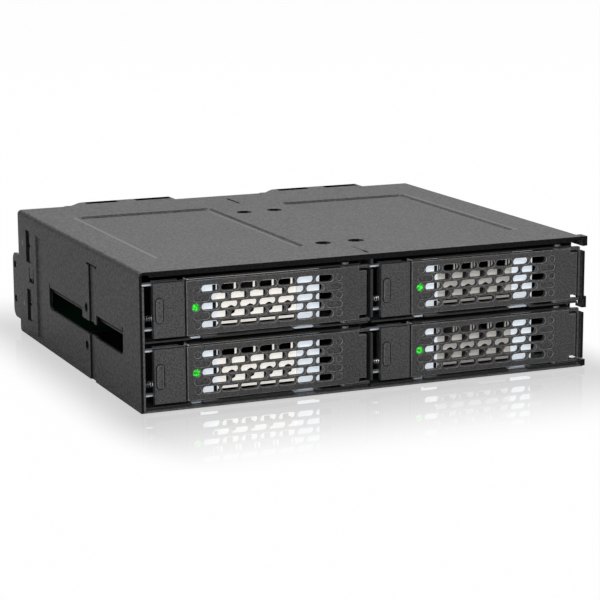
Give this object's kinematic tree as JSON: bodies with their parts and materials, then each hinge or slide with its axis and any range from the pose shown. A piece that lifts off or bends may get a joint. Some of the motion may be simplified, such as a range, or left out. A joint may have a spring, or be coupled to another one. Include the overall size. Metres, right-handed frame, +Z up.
{
  "type": "hot swap drive cage",
  "caption": "Flat metal cage for a half-height drive bay with slide-out trays behind slotted lever doors, a backplane and fans.",
  "frame": {"origin": "underside of the base pan, halfway across and halfway along the cover", "axes": "+X to the right seen from the front, +Y to the rear, +Z up"},
  "size_m": [0.1468, 0.1323, 0.0413],
  "materials": {
    "black_steel": "fine grained powder coat",
    "black_door": "satin",
    "plated_steel": "bright zinc plate",
    "bright_steel": "bright",
    "black_plastic": "matte",
    "fan_plastic": "smooth",
    "green_lens": "clear green",
    "clear_plastic": "clear",
    "circuit_board": "green solder mask"
  },
  "bodies": {
    "cage": {"outer_cover": "black_steel", "base_pan": "black_steel", "center_divider": "black_steel", "shelf_left": "black_steel", "shelf_right": "black_steel", "backplane_board": "circuit_board", "drive_connectors": "black_plastic", "data_connectors": "black_plastic", "power_connectors": "black_plastic", "backplane_bracket": "plated_steel", "rear_panel": "black_steel", "fan_frame_left": "fan_plastic", "fan_frame_right": "fan_plastic"},
    "fan_left": {"fan_rotor_left": "fan_plastic"},
    "fan_right": {"fan_rotor_right": "fan_plastic"},
    "tray_upper_left": {"tray_frame_upper_left": "black_steel", "tray_front_upper_left": "plated_steel", "hinge_pin_upper_left": "bright_steel", "light_guide_upper_left": "clear_plastic", "latch_spring_upper_left": "bright_steel"},
    "door_upper_left": {"door_upper_left": "black_door", "indicator_lens_upper_left": "green_lens"},
    "latch_upper_left": {"latch_upper_left": "black_plastic"},
    "tray_upper_right": {"tray_frame_upper_right": "black_steel", "tray_front_upper_right": "plated_steel", "hinge_pin_upper_right": "bright_steel", "light_guide_upper_right": "clear_plastic", "latch_spring_upper_right": "bright_steel"},
    "door_upper_right": {"door_upper_right": "black_door", "indicator_lens_upper_right": "green_lens"},
    "latch_upper_right": {"latch_upper_right": "black_plastic"},
    "tray_lower_left": {"tray_frame_lower_left": "black_steel", "tray_front_lower_left": "plated_steel", "hinge_pin_lower_left": "bright_steel", "light_guide_lower_left": "clear_plastic", "latch_spring_lower_left": "bright_steel"},
    "door_lower_left": {"door_lower_left": "black_door", "indicator_lens_lower_left": "green_lens"},
    "latch_lower_left": {"latch_lower_left": "black_plastic"},
    "tray_lower_right": {"tray_frame_lower_right": "black_steel", "tray_front_lower_right": "plated_steel", "hinge_pin_lower_right": "bright_steel", "light_guide_lower_right": "clear_plastic", "latch_spring_lower_right": "bright_steel"},
    "door_lower_right": {"door_lower_right": "black_door", "indicator_lens_lower_right": "green_lens"},
    "latch_lower_right": {"latch_lower_right": "black_plastic"}
  },
  "joints": [
    {"name": "fan_spin_left", "type": "hinge", "parent": "cage", "child": "fan_left", "pos_m": [-0.036, 0.06385, 0.0204], "axis": [0, 1, 0], "continuous": true},
    {"name": "fan_spin_right", "type": "hinge", "parent": "cage", "child": "fan_right", "pos_m": [0.036, 0.06385, 0.0204], "axis": [0, 1, 0], "continuous": true},
    {"name": "tray_slide_upper_left", "type": "slide", "parent": "cage", "child": "tray_upper_left", "axis": [0, -1, 0], "range_m": [0, 0.13]},
    {"name": "door_hinge_upper_left", "type": "hinge", "parent": "tray_upper_left", "child": "door_upper_left", "pos_m": [-0.0079, -0.05975, 0.0297], "axis": [0, 0, 1], "range_deg": [0, 35]},
    {"name": "latch_slide_upper_left", "type": "slide", "parent": "tray_upper_left", "child": "latch_upper_left", "axis": [-1, 0, 0], "range_m": [0, 0.002], "stiffness_N_per_m": 300, "springref_m": -0.001, "deforming": ["latch_spring_upper_left"]},
    {"name": "tray_slide_upper_right", "type": "slide", "parent": "cage", "child": "tray_upper_right", "axis": [0, -1, 0], "range_m": [0, 0.13]},
    {"name": "door_hinge_upper_right", "type": "hinge", "parent": "tray_upper_right", "child": "door_upper_right", "pos_m": [0.0641, -0.05975, 0.0297], "axis": [0, 0, 1], "range_deg": [0, 35]},
    {"name": "latch_slide_upper_right", "type": "slide", "parent": "tray_upper_right", "child": "latch_upper_right", "axis": [-1, 0, 0], "range_m": [0, 0.002], "stiffness_N_per_m": 300, "springref_m": -0.001, "deforming": ["latch_spring_upper_right"]},
    {"name": "tray_slide_lower_left", "type": "slide", "parent": "cage", "child": "tray_lower_left", "axis": [0, -1, 0], "range_m": [0, 0.13]},
    {"name": "door_hinge_lower_left", "type": "hinge", "parent": "tray_lower_left", "child": "door_lower_left", "pos_m": [-0.0079, -0.05975, 0.0103], "axis": [0, 0, 1], "range_deg": [0, 35]},
    {"name": "latch_slide_lower_left", "type": "slide", "parent": "tray_lower_left", "child": "latch_lower_left", "axis": [-1, 0, 0], "range_m": [0, 0.002], "stiffness_N_per_m": 300, "springref_m": -0.001, "deforming": ["latch_spring_lower_left"]},
    {"name": "tray_slide_lower_right", "type": "slide", "parent": "cage", "child": "tray_lower_right", "axis": [0, -1, 0], "range_m": [0, 0.13]},
    {"name": "door_hinge_lower_right", "type": "hinge", "parent": "tray_lower_right", "child": "door_lower_right", "pos_m": [0.0641, -0.05975, 0.0103], "axis": [0, 0, 1], "range_deg": [0, 35]},
    {"name": "latch_slide_lower_right", "type": "slide", "parent": "tray_lower_right", "child": "latch_lower_right", "axis": [-1, 0, 0], "range_m": [0, 0.002], "stiffness_N_per_m": 300, "springref_m": -0.001, "deforming": ["latch_spring_lower_right"]}
  ]
}
